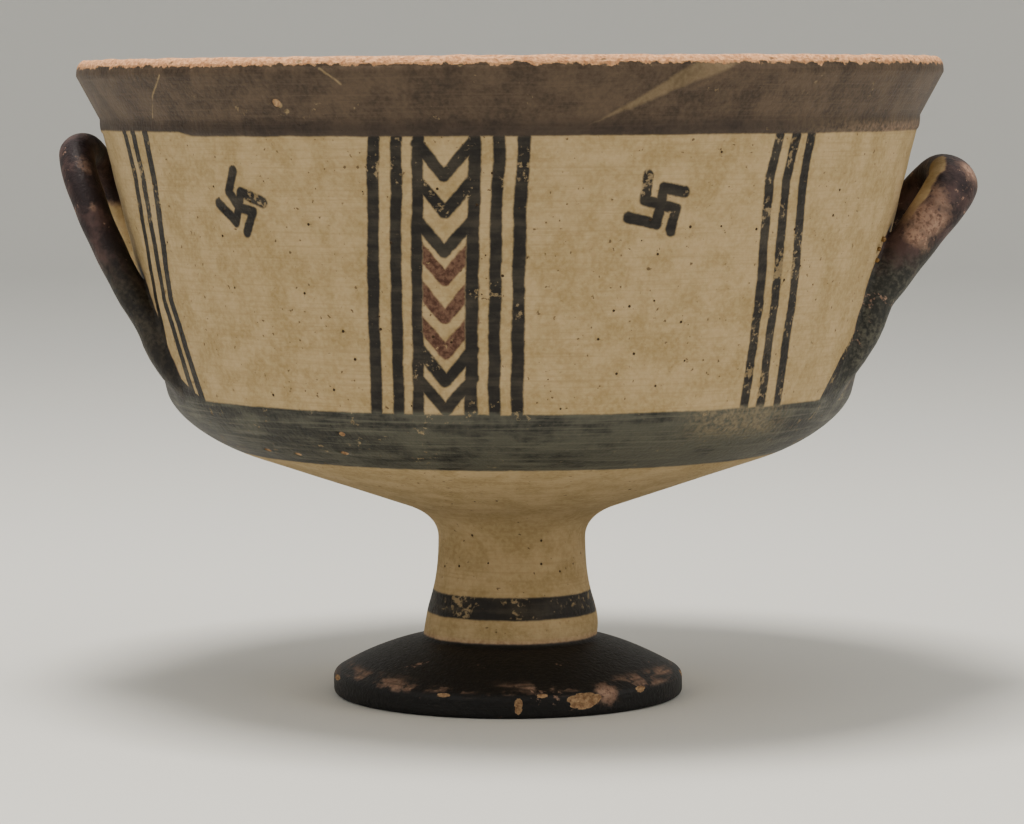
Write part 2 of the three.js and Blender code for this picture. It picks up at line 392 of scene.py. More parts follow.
def read_points(piece):
    """The mesh's points as rows of millimetres."""
    points = np.empty(len(piece.data.vertices) * 3)
    piece.data.vertices.foreach_get("co", points)
    return points.reshape(-1, 3) / MM


def strand_reading(points):
    """For each point: the gap to the nearest strand, and how far it lies on the side that faces the wall."""
    gap = np.full(len(points), 99.0)
    facing = np.zeros(len(points))
    for places, across, upward in handle_lines:
        near = np.flatnonzero(np.abs(points[:, 0] - places[:, 0].mean()) < 40)
        near = near[(points[near, 2] > 70) & (points[near, 2] < 160) & (np.abs(points[near, 1]) < 50)]
        wide = np.maximum(np.linalg.norm(across, axis=1), 1)
        tall = np.maximum(np.linalg.norm(upward, axis=1), 1)
        ring = np.linalg.norm(points[near, None, :] - places[None], axis=2).argmin(axis=1)
        toward = points[near] - places[ring]
        along = (toward * across[ring]).sum(axis=1) / wide[ring] ** 2
        above = (toward * upward[ring]).sum(axis=1) / tall[ring] ** 2
        outward = np.hypot(along, above) + 1e-6
        beyond = np.linalg.norm(toward, axis=1) - np.maximum(wide, tall)[ring] - 0.5
        here = np.maximum((outward - 1) * np.minimum(wide, tall)[ring], beyond)
        closer = here < gap[near]
        gap[near[closer]] = here[closer]
        facing[near[closer]] = (above / outward)[closer]
    return gap, facing


def thumbed(piece, reach, rounds, top):
    """Softens the joints where the strands were pressed on to the wall, up to a height."""
    gap, _ = strand_reading(read_points(piece))
    work = bmesh.new()
    work.from_mesh(piece.data)
    work.verts.ensure_lookup_table()
    outside = [
        vert
        for vert in work.verts
        if abs(gap[vert.index]) < reach
        and TAIL_FOOT < vert.co.z / MM < top
        and math.hypot(vert.co.x, vert.co.y) / MM > wall_radius(vert.co.z / MM) - 1.5
    ]
    axes = dict.fromkeys(("use_axis_x", "use_axis_y", "use_axis_z"), True)
    for _ in range(rounds):
        bmesh.ops.smooth_vert(work, verts=outside, factor=0.5, **axes)
    work.to_mesh(piece.data)
    work.free()


TAIL_FOOT = 73.0
thumbed(cup, 1.8, 9, CREST)
# The tails' ends are smeared further, in steps that each reach less high.
for top in (99, 95, 91, 87):
    thumbed(cup, 4.5, 5, top)

# Chips, pits and old mends
# The foot's edge and the lip are chipped down to the bare clay, and the wall has small pits from the clay and
# the burial. Three beads of old glue stand at the root of the handle at +X. All are part of the one body.
CHIP_MARK, PIT_MARK, GLUE_MARK = 1.0, -1.0, 2.0


def scattered_group():
    """Geometry nodes that set one rough lump on each point, by the point's own size and facing."""
    tree, given, result = shape_group("Scattered lumps", Fineness="Int", Roughness="Float")
    ball = node_in(tree, "GeometryNodeMeshIcoSphere", {"Subdivisions": given["Fineness"]})
    rough = node_in(tree, "ShaderNodeTexNoise", {"Scale": 2.2, "Detail": 4.0})
    push = aim(tree, "SUBTRACT", rough.outputs["Color"], (0.5, 0.5, 0.5))
    push = aim(tree, "SCALE", push, scale=given["Roughness"])
    lump = node_in(tree, "GeometryNodeSetPosition", {"Geometry": ball.outputs["Mesh"], "Offset": push})
    face = node_in(tree, "FunctionNodeAlignRotationToVector", {"Vector": stored(tree, "facing")}, axis="Z")
    feeds = {"Rotation": face.outputs[0], "Vector": (0, 0, 1)}
    level = node_in(tree, "FunctionNodeAlignRotationToVector", feeds, axis="Y", pivot_axis="Z")
    feeds = dict(
        Points=given["Geometry"],
        Instance=lump.outputs[0],
        Rotation=level.outputs[0],
        Scale=stored(tree, "size"),
    )
    placed = node_in(tree, "GeometryNodeInstanceOnPoints", feeds)
    real = realized(tree, placed.outputs[0])
    feeds = {"Geometry": real, "Name": "mark", "Value": stored(tree, "kind", "FLOAT")}
    marked = node_in(tree, "GeometryNodeStoreNamedAttribute", feeds, data_type="FLOAT", domain="FACE")
    return finished(tree, marked.outputs[0], given, result)


scattered_lumps = scattered_group()


def lumps(name, rows, fineness, roughness):
    """Rough lumps; each row is (place, facing, half sizes, mark), the last half size along the facing."""
    points = [tuple(v * MM for v in row[0]) for row in rows]
    size = [[v * MM for v in row[2]] for row in rows]
    layers = dict(facing=[row[1] for row in rows], size=size, kind=[row[3] for row in rows])
    return points_with(name, points, layers, scattered_lumps, Fineness=fineness, Roughness=roughness)


def around(azimuth, radius, height):
    """A place on the cup: 0 degrees is the front, and +X is at 90."""
    angle = math.radians(azimuth)
    return Vector((radius * math.sin(angle), -radius * math.cos(angle), height))


def outer_radius(height):
    """Radius of the outside at a height above the foot's edge."""
    rows = outer_profile[outer_profile[:, 1] > FOOT_EDGE]
    rows = rows[rows[:, 0] > 12]
    order = np.argsort(rows[:, 1], kind="stable")
    return float(np.interp(height, rows[order, 1], rows[order, 0]))


def edge_chip(azimuth, radius, height, tilt, wide, tall, bite, mark=CHIP_MARK):
    """A dished chip that bites a little way into an edge; tilt is how far it faces up."""
    facing = around(azimuth, math.cos(math.radians(tilt)), math.sin(math.radians(tilt)))
    deep = max(bite * 1.8, 0.5)
    place = around(azimuth, radius, height) + facing * (deep - bite)
    return tuple(place), tuple(facing), (wide, tall, deep), mark


chance = np.random.default_rng(7)


def chance_chip(azimuth, radius, *ranges):
    """A chip whose height, tilt, width, tallness and bite are each drawn from a range or given."""
    drawn = (one if isinstance(one, float) else chance.uniform(*one) for one in ranges)
    return edge_chip(azimuth, radius, *drawn)


# The chips that the front of the foot shows, then others like them round the back.
chips = [
    edge_chip(24.9, 45.0, 3.9, 12, 5.4, 2.7, 0.95),
    edge_chip(3.3, 45.0, 3.4, 0, 1.1, 2.5, 0.5),
    edge_chip(11.0, 44.7, 5.8, 40, 1.9, 0.9, 0.6),
    edge_chip(48.0, 44.8, 5.2, 35, 2.0, 1.1, 0.6),
    edge_chip(-21.0, 44.8, 5.6, 40, 2.6, 0.9, 0.4),
]
for azimuth in (84, 117, 141, 158, 196, 224, 251, 283):
    azimuth += chance.uniform(-6, 6)
    chips.append(chance_chip(azimuth, 44.9, (1.2, 5.8), (-10, 40), (1.2, 4.6), (0.8, 2.2), (0.4, 0.9)))
lip_chips = [
    chance_chip(azimuth, 109.9, 161.7, (10, 50), (0.9, 3.0), (0.6, 1.3), (0.25, 0.7))
    for azimuth in np.arange(0, 360, 9.0) + chance.uniform(-3, 3, 40)
]
for azimuth, height, wide in (
    (-30.4, 151.9, 1.2),
    (-30.2, 68.0, 1.1),
    (-42.1, 66.7, 1.0),
    (-50.1, 67.0, 1.2),
    (-28.1, 73.2, 0.9),
):
    lip_chips.append(edge_chip(azimuth, outer_radius(height), height, -20, wide, wide, 0.35))


def wall_pits(count, low, high):
    """Small pits scattered over the outside, kept apart from each other and off the handles."""
    rows = []
    while len(rows) < count:
        height, azimuth = chance.uniform(low, high), chance.uniform(-180, 180)
        place = around(azimuth, outer_radius(height), height)
        clear = all((place - Vector(row[0])).length > 3 for row in rows + chips + lip_chips)
        if clear and not 64 < abs(azimuth) < 116:
            wide = chance.uniform(0.22, 0.42)
            reach = place.xy.length
            rows.append(edge_chip(azimuth, reach, height, 0, wide, wide, wide * 0.8, PIT_MARK))
    return rows


pits = wall_pits(110, 80, 143) + wall_pits(14, 52, 62) + wall_pits(16, 26, 46)
glue = []
for azimuth, height, size in ((72.4, 117.3, 0.7), (70.9, 115.0, 0.55), (71.6, 112.2, 0.6)):
    place = around(azimuth, outer_radius(height) + 0.4, height)
    glue.append((tuple(place), tuple(around(azimuth, 1, 0)), (size, size, size), GLUE_MARK))
joined(cup, lumps("foot_chips", chips, 4, 0.9), "DIFFERENCE")
joined(cup, lumps("lip_chips", lip_chips, 3, 0.5), "DIFFERENCE")
joined(cup, lumps("pits", pits, 2, 0.3), "DIFFERENCE")
joined(cup, lumps("glue", glue, 3, 0.2), "UNION")
facing_out(cup)
for label in ("kind", "size", "facing"):
    cup.data.attributes.remove(cup.data.attributes[label])
cup.data.materials.clear()
cup.data.materials.append(painted_clay)
cup.data.polygons.foreach_set("material_index", [0] * len(cup.data.polygons))

# The hand and the years in the clay
# The form is turned and bent by hand, so the rim rises a little to the right, the stem and foot sit a little
# off the bowl's axis, the inside keeps the throwing ridges, and the lip is worn uneven.
TILT, TILT_LEVELS = 0.0059, (66.0, 130.0)
STEM_SHIFT, FOOT_SHIFT = 0.6, 0.4
INSIDE_RIDGE, OUTSIDE_RIDGE, LIP_WEAR = 0.2, 0.06, 0.28
points = read_points(cup)
x, y, z = points.T
radius = np.hypot(x, y)
levels = [SLOPE_TOP, 16, 25, 40, FLARE_TOP, KEEL_LEVEL, 70, WALL_FOOT, WALL_TOP, LIP_LEVEL, CREST]
reaches = [24.6, 22.4, 19, STEM_RADIUS, FLARE_RADIUS, KEEL_RADIUS, 81]
reaches += [WALL_FOOT_RADIUS, WALL_TOP_RADIUS, LIP_RADIUS, LIP_RADIUS]
inner = ((radius < np.interp(z, levels, reaches) - 2.6) & (z > 48.5) & (z < 163)).astype(float)
bare_reach = np.interp(z, [0, 0.1, 0.4, 1.5, 1.7, 6, 38], [42.8, 42.8, 36.2, 36.2, 33.6, 26.3, 10.3])
under = ((radius < bare_reach) & (z < 39)).astype(float)
gap, facing = strand_reading(points)


def slow_noise(scale, seed):
    """Smooth noise over the points, from -1 to 1, with features about scale apart."""
    return np.array([noise.noise(Vector(row) / scale + Vector((seed, seed, 0))) for row in points])


def rise(low, high):
    """0 below low, 1 above high, by the points' heights."""
    share = np.clip((z - low) / (high - low), 0, 1)
    return share * share * (3 - 2 * share)


out = np.column_stack([x, y]) / np.maximum(radius, 1)[:, None]
azimuth = np.arctan2(x, -y)
throwing = INSIDE_RIDGE * np.sin(z / 1.15 + 1.5 * np.sin(azimuth))
brushing = OUTSIDE_RIDGE * np.sin(z / 1.6 + 0.8 * np.sin(azimuth + 2))
swell = 0.32 * slow_noise(42, 3.1) + 0.1 * slow_noise(13, 8.4)
swell *= np.clip(radius / 20, 0, 1) * rise(0.2, 3)
swell += 0.25 * np.cos(2 * azimuth - 1.0) * rise(66, 120) - 0.1
swell += inner * rise(50, 60) * (1 - rise(146, 158)) * throwing
swell += (1 - inner) * rise(82, 90) * (1 - rise(138, 143)) * brushing
swell += (gap < 1.5) * 0.3 * slow_noise(9, 5.5)
lip_noise = slow_noise(4.5, 2.2)
points[:, 0] += out[:, 0] * swell + STEM_SHIFT * rise(12, 20) * (1 - rise(44, 60))
points[:, 0] -= FOOT_SHIFT * (1 - rise(9, 16))
points[:, 1] += out[:, 1] * swell
points[:, 2] += TILT * x * rise(*TILT_LEVELS) + rise(161.6, 162.6) * LIP_WEAR * (lip_noise - 0.4)
cup.data.vertices.foreach_set("co", (points * MM).astype(np.float32).ravel())
cup.data.update()
for label, values in (("inner", inner), ("under", under), ("gap", gap), ("facing", facing)):
    layer = cup.data.attributes.new(label, "FLOAT", "POINT")
    layer.data.foreach_set("value", values.astype(np.float32))
cup.data.polygons.foreach_set("use_smooth", [True] * len(cup.data.polygons))

# The slips and the clay
# The pale slip covers the panel, underside and stem; dark slip, thinned to brown on the rim, was brushed on the
# turning wheel as bands and by hand as stripes, chevrons and hooked crosses. It has worn, flaked and stained.
PANEL_TOP = 144.2
BAND_TOP, BAND_FOOT = 79.0, 64.2
STEM_BAND, STEM_BAND_HALF = 24.0, 2.8
FOOT_SLIP_TOP = 15.3
BACK_SHIFT = 2.6
STRIPE_KNOTS = 144.0, 133.0, 104.0, 79.0


def use(tree, group, **values):
    """The group placed in a tree with its inputs set: its outputs."""
    node = node_in(tree, "ShaderNodeGroup", node_tree=group)
    for label, value in values.items():
        plug(tree, value, node.inputs[label])
    return node.outputs


def between(tree, value, low, high, smooth=True):
    """0 at low and 1 at high, or the other way when low is the greater."""
    node = node_in(tree, "ShaderNodeMapRange", interpolation_type="SMOOTHSTEP" if smooth else "LINEAR")
    for label, given in (("Value", value), ("From Min", low), ("From Max", high)):
        plug(tree, given, node.inputs[label])
    return node.outputs["Result"]


def grain(tree, point, scale, detail=3.0, rough=0.55, out="Fac"):
    """Noise over a point, with features about 1 / scale apart."""
    node = node_in(tree, "ShaderNodeTexNoise")
    for label, given in (("Vector", point), ("Scale", scale), ("Detail", detail), ("Roughness", rough)):
        plug(tree, given, node.inputs[label])
    return node.outputs[out]


def blend(tree, share, first, second, kind="RGBA"):
    """Mixes two colours or two numbers."""
    node = node_in(tree, "ShaderNodeMix", data_type=kind)
    ends = [socket for socket in node.inputs if socket.type == {"RGBA": "RGBA", "FLOAT": "VALUE"}[kind]]
    plug(tree, share, node.inputs[0])
    for value, socket in zip((first, second), ends[-2:]):
        plug(tree, (*value, 1.0) if isinstance(value, tuple) else value, socket)
    return next(socket for socket in node.outputs if socket.type == ends[-1].type)


def spread(tree, x, y, z=0.0):
    """A vector from three numbers."""
    node = node_in(tree, "ShaderNodeCombineXYZ")
    for value, socket in zip((x, y, z), node.inputs):
        plug(tree, value, socket)
    return node.outputs[0]


def stripe_group():
    """Distance to an upright stripe whose middle passes four places on the way down the panel."""
    inputs = dict(Point="Vector", Top="Float", Upper="Float", Lower="Float", Foot="Float", Width="Float")
    tree, given, result = new_group("Painted stripe", inputs, dict(Distance="Float"))
    x, y, _ = parted(tree, given["Point"])
    middle = given["Top"]
    for label, start, end in zip(("Upper", "Lower", "Foot"), STRIPE_KNOTS, STRIPE_KNOTS[1:]):
        middle = blend(tree, between(tree, y, start, end, False), middle, given[label], "FLOAT")
    away = calc(tree, "ABSOLUTE", calc(tree, "SUBTRACT", x, middle))
    half = calc(tree, "MULTIPLY", given["Width"], 0.5)
    plug(tree, calc(tree, "SUBTRACT", away, half), result["Distance"])
    return tree


def stroke_group():
    """Distance to one straight brush stroke with round ends."""
    inputs = dict(Point="Vector", Start="Vector", End="Vector", Width="Float")
    tree, given, result = new_group("Painted stroke", inputs, dict(Distance="Float"))
    run = aim(tree, "SUBTRACT", given["End"], given["Start"])
    here = aim(tree, "SUBTRACT", given["Point"], given["Start"])
    passed = aim(tree, "DOT_PRODUCT", here, run, out="Value")
    whole = aim(tree, "DOT_PRODUCT", run, run, out="Value")
    share = calc(tree, "DIVIDE", passed, whole, clamp=True)
    away = aim(tree, "SUBTRACT", here, aim(tree, "SCALE", run, scale=share))
    half = calc(tree, "MULTIPLY", given["Width"], 0.5)
    plug(tree, calc(tree, "SUBTRACT", aim(tree, "LENGTH", away, out="Value"), half), result["Distance"])
    return tree


def places_group():
    """Where a point lies on the cup: unrolled in mm from the middle of its own face, and a brush's wander."""
    outputs = dict.fromkeys(("Point", "Flat", "Brushed"), "Vector")
    outputs |= dict.fromkeys(("Level", "Turn", "Front"), "Float")
    tree, given, result = new_group("Places on the cup", dict(Object="Vector"), outputs)
    point = aim(tree, "SCALE", given["Object"], scale=1 / MM)
    x, y, z = parted(tree, point)
    radius = aim(tree, "LENGTH", spread(tree, x, y), out="Value")
    angle = calc(tree, "ARCTAN2", x, calc(tree, "ABSOLUTE", y))
    front = calc(tree, "LESS_THAN", y, 0.0)
    shift = calc(tree, "MULTIPLY", calc(tree, "SUBTRACT", 1.0, front), BACK_SHIFT)
    arc = calc(tree, "ADD", calc(tree, "MULTIPLY", angle, radius), shift)
    tilt = calc(tree, "MULTIPLY", calc(tree, "MULTIPLY", x, TILT), between(tree, z, *TILT_LEVELS))
    untilted = calc(tree, "SUBTRACT", z, tilt)
    flat = spread(tree, arc, untilted)
    slow, quick = (
        aim(tree, "SUBTRACT", grain(tree, point, scale, detail, out="Color"), (0.5, 0.5, 0.5))
        for scale, detail in ((0.09, 1.0), (0.7, 2.0))
    )

    def wander(slow_share, quick_share):
        slowly = aim(tree, "SCALE", slow, scale=slow_share)
        return aim(tree, "ADD", slowly, aim(tree, "SCALE", quick, scale=quick_share))

    plug(tree, point, result["Point"])
    plug(tree, flat, result["Flat"])
    plug(tree, aim(tree, "ADD", flat, wander(1.2, 0.55)), result["Brushed"])
    plug(tree, calc(tree, "ADD", untilted, parted(tree, wander(0.5, 0.3))["Y"]), result["Level"])
    plug(tree, calc(tree, "DEGREES", calc(tree, "ABSOLUTE", angle)), result["Turn"])
    plug(tree, front, result["Front"])
    return tree


def flaking_group():
    """Where slip is thin or has flaked off; Amount runs from 0, sound, to 1, bare."""
    tree, given, result = new_group("Flaked slip", dict(Point="Vector", Amount="Float"), dict(Bare="Float"))
    specks = grain(tree, given["Point"], 0.8, 3.0, 0.6)
    patches = grain(tree, given["Point"], 0.13, 2.0, 0.55)
    both = calc(tree, "MULTIPLY", calc(tree, "ADD", specks, patches), 0.5)
    limit = calc(tree, "SUBTRACT", 0.68, calc(tree, "MULTIPLY", given["Amount"], 0.3))
    plug(tree, between(tree, calc(tree, "SUBTRACT", both, limit), -0.03, 0.035), result["Bare"])
    return tree


def worn_place_group():
    """A ragged worn place round one point."""
    inputs = dict(Point="Vector", Ragged="Float", Place="Vector", Size="Float")
    tree, given, result = new_group("Worn place", inputs, dict(Bare="Float"))
    away = aim(tree, "DISTANCE", given["Point"], given["Place"], out="Value")
    share = calc(tree, "ADD", calc(tree, "DIVIDE", away, given["Size"]), given["Ragged"])
    plug(tree, between(tree, share, 1.4, 0.3), result["Bare"])
    return tree


def wheel_group():
    """The fine level lines that the brush and fingers left on the turning wheel, from 0 to 1."""
    tree, given, result = new_group("Wheel lines", dict(Flat="Vector", Fineness="Float"), dict(Lines="Float"))
    x, y, _ = parted(tree, given["Flat"])
    stretched = spread(tree, calc(tree, "MULTIPLY", x, 0.035), calc(tree, "MULTIPLY", y, given["Fineness"]))
    plug(tree, grain(tree, stretched, 1.0, 3.0, 0.6), result["Lines"])
    return tree


stripe, stroke, places = stripe_group(), stroke_group(), places_group()
flaking, wheel_lines, worn_place = flaking_group(), wheel_group(), worn_place_group()

# Places of the stripes' middles round the panel at the four heights, then the stripe's width.
STRIPES = (
    (-31.6, -31.9, -32.3, -32.0, 3.0),
    (-26.0, -26.3, -26.7, -26.1, 2.8),
    (-21.0, -21.3, -21.6, -21.5, 2.7),
    (-7.9, -8.2, -8.7, -9.0, 3.0),
    (-2.3, -2.8, -3.4, -3.6, 2.9),
    (3.3, 2.8, 2.1, 1.8, 3.0),
    (68.2, 65.1, 63.9, 60.7, 2.8),
    (73.5, 70.7, 69.1, 66.1, 2.9),
    (78.6, 76.5, 75.5, 72.1, 2.9),
    (-117.6, -114.5, -113.4, -106.0, 2.9),
    (-112.0, -109.4, -106.4, -94.6, 2.9),
    (-105.0, -103.0, -101.8, -90.2, 2.9),
)
CHEVRON_MIDDLE = -14.9
CHEVRON_ARM = 6.4, 7.6
BLACK_CHEVRONS, BLACK_WIDTH = (135.2, 126.6, 117.4, 86.9, 79.9), 2.8
RED_CHEVRONS, RED_WIDTH = (111.0, 102.0, 93.7), 3.1
# Each hooked cross is drawn as two bent strokes, as corner points (round, up) on the unrolled cup.
CROSS_WIDTH = 2.6
HOOKED_CROSSES = (
    ((-70.7, 136.2), (-72.3, 131.1), (-69.4, 127.4), (-64.8, 126.4), (-66.9, 121.6)),
    ((-61.6, 128.6), (-68.5, 131.2), (-70.4, 123.8), (-76.0, 128.2)),
    ((32.3, 135.0), (31.7, 129.0), (39.5, 127.3), (38.4, 121.9)),
    ((41.7, 131.0), (36.3, 132.0), (34.9, 123.6), (27.8, 125.1)),
)
RIM_SCRATCHES = (
    ((-93.7, 158.6), (-98.0, 154.0), 0.5),
    ((-98.0, 154.0), (-100.3, 148.4), 0.35),
    ((-44.7, 159.8), (-39.4, 156.2), 0.45),
    ((-57.0, 152.4), (-55.6, 151.6), 1.2),
)
MEND_TIP, MEND_UPPER, MEND_LOWER = (25.6, 150.0), (45.0, 161.0), (53.5, 160.4)
# Places where a handle or the foot's edge is worn down to paler clay, with their sizes. The patch on the crest
# of the +X loop is partly a painted highlight, and the highest patch on the -X loop is a painted highlight.
WORN_AND_HIGHLIT_PLACES = (
    ((104.0, -27.0, 124.5), 6.0),
    ((100.5, -27.0, 118.0), 3.6),
    # Partly a painted highlight on the crest of the +X loop, partly worn clay.
    ((117.0, -11.0, 134.5), 4.0),
    # A painted highlight on the inner edge of the -X loop's near strand.
    ((-105.7, -19.5, 138.0), 2.8),
    ((-109.5, -24.0, 127.5), 1.7),
    ((-103.7, -25.0, 125.6), 1.5),
    ((107.5, -24.5, 129.0), 4.2),
    ((24.5, -37.5, 5.8), 2.9),
)

painted_clay.use_nodes = True
paint = painted_clay.node_tree
paint.nodes.clear()
finish = node_in(paint, "ShaderNodeOutputMaterial")
surface = node_in(paint, "ShaderNodeBsdfPrincipled")
plug(paint, surface.outputs[0], finish.inputs["Surface"])
where = use(paint, places, Object=node_in(paint, "ShaderNodeTexCoord").outputs["Object"])
point, flat, brushed = where["Point"], where["Flat"], where["Brushed"]
level, turn, front = where["Level"], where["Turn"], where["Front"]
wide, height, _ = parted(paint, brushed)
true_height = parted(paint, flat)["Y"]
side_x, side_y, _ = parted(paint, point)


def folded(operation, first, *others):
    """One kind of arithmetic over several values of the painted clay."""
    for other in others:
        first = calc(paint, operation, first, other)
    return first


def times(*values):
    """The product of several values."""
    return folded("MULTIPLY", *values)


def most(*values):
    """The greatest of several values."""
    return folded("MAXIMUM", *values)


def least(*values):
    """The least of several values."""
    return folded("MINIMUM", *values)


def minus(*values):
    """The first value less the others."""
    return folded("SUBTRACT", *values)


def scaled(value, scale, start):
    """The value times a scale, added to a start."""
    return calc(paint, "MULTIPLY_ADD", value, scale, start)


def away_from(value, middle):
    """How far a value is from a middle."""
    return calc(paint, "ABSOLUTE", minus(value, middle))


def ramp(*values):
    """0 at low and 1 at high over the painted clay."""
    return between(paint, *values)


def either(share, first, second):
    """Mixes two numbers over the painted clay."""
    return blend(paint, share, first, second, "FLOAT")


def tint(share, first, second):
    """Mixes two colours over the painted clay."""
    return blend(paint, share, first, second)


def edge(distance, soft=0.32):
    """A painted edge: 1 where the distance is below 0."""
    return ramp(distance, soft, -soft)


def painted(place, start, end, width):
    """Distance to a stroke between two places."""
    return use(paint, stroke, Point=place, Start=(*start, 0), End=(*end, 0), Width=width)["Distance"]


def kept(label):
    """A layer of the mesh."""
    return node_in(paint, "ShaderNodeAttribute", attribute_name=label).outputs["Fac"]


inside, beneath, gap_here, facing_here, mark = map(kept, ("inner", "under", "gap", "facing", "mark"))
right_side = ramp(side_x, -1.0, 1.0)
fine = grain(paint, point, 0.9, 3.0, 0.6)
tone = grain(paint, point, 0.12, 4.0, 0.62)

# Bands, stripes and marks, as distances to their edges
stripes = [
    use(paint, stripe, Point=brushed, Top=a, Upper=b, Lower=c, Foot=d, Width=w)["Distance"]
    for a, b, c, d, w in STRIPES
]
stripes = most(least(*stripes), minus(height, 146.0), minus(77.0, height))
chevron_place = spread(paint, away_from(wide, CHEVRON_MIDDLE), height)


def chevrons(apexes, width):
    """Distance to the nearest of several chevrons that point down."""
    arm, up = CHEVRON_ARM
    return least(*(painted(chevron_place, (0, foot), (arm, foot + up), width) for foot in apexes))


def level_band(middle, half):
    """Distance to a band that runs level round the cup."""
    return minus(away_from(level, middle), half)


crosses = least(
    *(
        painted(brushed, start, end, CROSS_WIDTH)
        for corners in HOOKED_CROSSES
        for start, end in zip(corners, corners[1:])
    )
)
not_front = times(minus(1.0, front), 60.0)
crosses = calc(paint, "ADD", crosses, not_front)
dark_marks = least(stripes, chevrons(BLACK_CHEVRONS, BLACK_WIDTH), crosses)
red_marks = chevrons(RED_CHEVRONS, RED_WIDTH)
# At the far left the rim's slip stops a little higher, as the photograph shows.
left_step = times(ramp(wide, -84.0, -90.0), front)
rim = minus(calc(paint, "ADD", left_step, PANEL_TOP), level)
low_band = level_band((BAND_TOP + BAND_FOOT) / 2, (BAND_TOP - BAND_FOOT) / 2)
stem_band = level_band(STEM_BAND, STEM_BAND_HALF)
# Beside each tail the dark slip widens downwards, and between the two it hangs like a garland.
root_slope = either(right_side, 1.57, 0.48)
root_start = either(right_side, 58.5, 60.2)
root_angle = scaled(minus(height, BAND_TOP), root_slope, root_start)
from_middle = minus(90.0, turn)
garland = scaled(times(from_middle, from_middle), 0.06, either(right_side, 84.0, 92.0))
root = most(times(minus(root_angle, turn), 1.6), minus(height, garland), minus(76.0, height))
bands = least(low_band, stem_band, minus(level, FOOT_SLIP_TOP), minus(gap_here, 0.9), root)
brown_zone = edge(rim)
lip_limit = scaled(grain(paint, point, 0.34, 4.0, 0.62), 3.6, 158.7)
lip = ramp(true_height, lip_limit, calc(paint, "ADD", lip_limit, 0.3))
outside_dark = most(edge(least(dark_marks, bands)), brown_zone)
dark = most(times(outside_dark, minus(1.0, inside)), inside)
red = times(edge(red_marks), minus(1.0, dark))
# Left bare: a strip along the inside of the near strand at +X, and the inner face of the far strand at -X.
on_strand = ramp(gap_here, 0.9, 0.4)
near_inside = times(
    ramp(scaled(tone, 0.5, facing_here), 0.95, 1.05),
    ramp(side_y, -2.0, -6.0),
    ramp(height, 119.0, 128.0),
    right_side,
)
far_level, far_reach, far_slope = 97.0, 27.0, 0.25
far_inside = times(
    ramp(scaled(height, far_slope, minus(side_y, far_reach + far_slope * far_level)), 1.6, -1.2),
    ramp(side_y, 6.0, 10.0),
    ramp(scaled(tone, 8.0, height), 130.5, 128.0),
    ramp(height, 98.0, 102.0),
    ramp(side_x, -80.0, -85.0),
)
reserved = times(most(near_inside, far_inside), on_strand)

# Wear
chip = times(ramp(mark, 0.4, 0.6, False), ramp(mark, 1.6, 1.4, False))
pit = ramp(mark, -0.4, -0.6, False)
glue_bead = ramp(mark, 1.5, 1.7, False)
handle_zone = ramp(gap_here, 1.2, 0.6)
foot_zone = ramp(height, 17.0, 14.0)
band_zone = times(ramp(height, 62.0, 63.5), ramp(height, 80.0, 79.0))
lines = either(handle_zone, use(paint, wheel_lines, Flat=flat, Fineness=1.5)["Lines"], 0.5)
broad_lines = either(handle_zone, use(paint, wheel_lines, Flat=flat, Fineness=0.4)["Lines"], fine)
foot_streaks = times(
    ramp(true_height, 4.8, 6.0),
    ramp(true_height, 9.0, 7.2),
    ramp(broad_lines, 0.44, 0.60),
    ramp(tone, 0.46, 0.56),
)
band_rub = times(
    band_zone,
    ramp(true_height, 70.0, 74.0),
    ramp(away_from(wide, 60.0), 22.0, 6.0),
    ramp(fine, 0.30, 0.70),
)
# The three stripes on the right have lost more of their slip, and so have the tops of the middle stripes
# and the band round the stem.
rubbed_top = times(ramp(height, 114.0, 134.0), 0.6)
more_worn = times(
    most(ramp(wide, 54.0, 64.0), rubbed_top),
    ramp(height, 79.0, 82.0),
    minus(1.0, most(handle_zone, inside, brown_zone)),
)
round_stem = ramp(away_from(height, 25.0), 4.0, 3.0)
amount = scaled(handle_zone, times(right_side, 0.16), 0.16)
for zone, more in (
    (foot_zone, -0.08),
    (times(handle_zone, ramp(height, 122.0, 112.0)), -0.15),
    (most(more_worn, round_stem), 0.2),
    (brown_zone, -0.10),
    (minus(lines, 0.5), 0.3),
):
    amount = scaled(zone, more, amount)
worn = use(paint, flaking, Point=point, Amount=amount)["Bare"]
ragged = scaled(fine, 1.7, scaled(tone, 3.0, -2.35))
# Worn places. The painted highlights on the loops are drawn the same way, as slip worn through to pinkish clay.
worn_and_highlit = [
    use(paint, worn_place, Point=point, Ragged=ragged, Place=place, Size=size)["Bare"]
    for place, size in WORN_AND_HIGHLIT_PLACES
]
worn_and_highlit_all = times(most(*worn_and_highlit), ramp(fine, 0.12, 0.56))


def half_plane(start, end):
    """Signed distance to the line through two places on the unrolled cup, above 0 on its left."""
    dx, dy = end[0] - start[0], end[1] - start[1]
    length = math.hypot(dx, dy)
    normal = (-dy / length, dx / length, 0)
    return aim(paint, "DOT_PRODUCT", aim(paint, "SUBTRACT", brushed, (*start, 0)), normal, out="Value")


